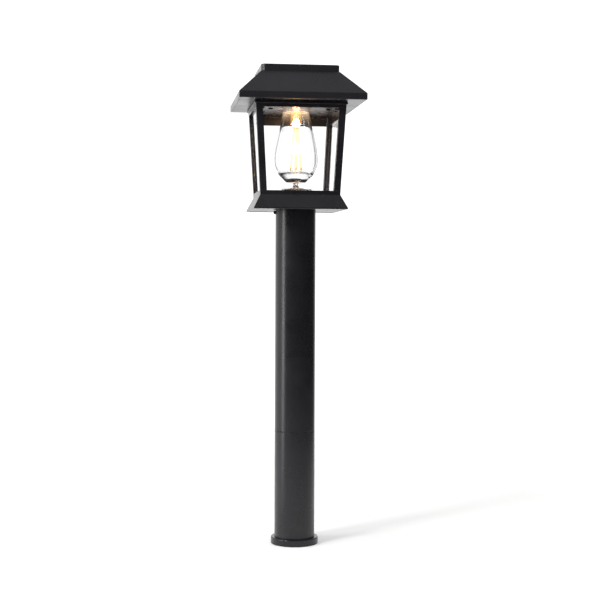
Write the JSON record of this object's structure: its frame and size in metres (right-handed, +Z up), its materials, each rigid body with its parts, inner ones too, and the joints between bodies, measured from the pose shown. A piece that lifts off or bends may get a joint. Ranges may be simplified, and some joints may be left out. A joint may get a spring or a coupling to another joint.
{
  "type": "bollard light",
  "caption": "Garden bollard light: a square glazed lantern with a pyramid roof and a filament lamp in a clear goblet glass, on a round two-piece post with a ground flange.",
  "frame": {"origin": "centre of the ground face of the flange", "axes": "+Z up along the post, -Y towards the front of the lantern, +X to the right of it"},
  "size_m": [0.183, 0.183, 0.7055],
  "materials": {
    "black_coat": "satin black powder coat on aluminium",
    "flange_coat": "satin black powder coat on iron",
    "pane_glass": "clear flat glass",
    "lamp_glass": "clear blown glass",
    "stem_glass": "clear glass",
    "black_steel": "blackened steel",
    "steel": "zinc-plated steel",
    "rubber": "matt black rubber",
    "white_plastic": "matt plastic",
    "black_plastic": "matt plastic",
    "lead_sheath": "soft sheath",
    "brass": "bright brass",
    "filament": "phosphor-coated light strip"
  },
  "bodies": {
    "lantern": {"ground_flange": "flange_coat", "flange_screws": "black_steel", "cable_grommet": "rubber", "lower_post": "black_coat", "joint_sleeve": "black_coat", "joint_screws": "black_steel", "upper_post": "black_coat", "post_lock_screw": "black_steel", "terminal_bracket": "steel", "bracket_screw": "steel", "terminal_block": "white_plastic", "terminal_screws": "brass", "led_driver": "white_plastic", "link_wires": "lead_sheath", "lamp_lead": "lead_sheath", "lantern_base": "black_coat", "base_cover": "black_coat", "cover_screws": "black_steel", "corner_post_front_left": "black_coat", "corner_post_front_right": "black_coat", "corner_post_rear_left": "black_coat", "corner_post_rear_right": "black_coat", "pane_front": "pane_glass", "pane_rear": "pane_glass", "pane_left": "pane_glass", "pane_right": "pane_glass", "sill_seals": "rubber", "head_ring": "black_coat", "tie_rods": "steel", "tie_rod_nuts": "steel", "clamp_bar_rear": "black_coat", "clamp_bar_left": "black_coat", "clamp_bar_right": "black_coat", "clamp_bar_screws": "black_steel", "roof_lock_screws": "black_steel", "roof_gasket": "rubber", "connector_socket": "black_plastic", "lamp_glass": "lamp_glass", "glass_pad": "rubber", "glass_clips": "steel"},
    "roof": {"roof_shell": "black_coat", "roof_liner": "black_coat", "roof_pillars": "steel", "liner_screws": "black_steel", "deck_screws": "steel", "crown_cap": "black_coat", "crown_seal": "rubber", "crown_screws": "steel", "lampholder": "white_plastic", "holder_screws": "steel", "holder_contacts": "brass", "connector_plug": "black_plastic", "roof_lead": "lead_sheath"},
    "lamp": {"lamp_cap": "brass", "lamp_stem": "stem_glass", "led_filaments": "filament", "filament_wires": "steel"}
  },
  "joints": [
    {"name": "roof_lift", "type": "slide", "parent": "lantern", "child": "roof", "axis": [0, 0, 1], "range_m": [0, 0.15]},
    {"name": "lamp_twist", "type": "hinge", "parent": "roof", "child": "lamp", "pos_m": [0, 0, 0.65], "axis": [0, 0, 1], "range_deg": [-25, 0]}
  ]
}
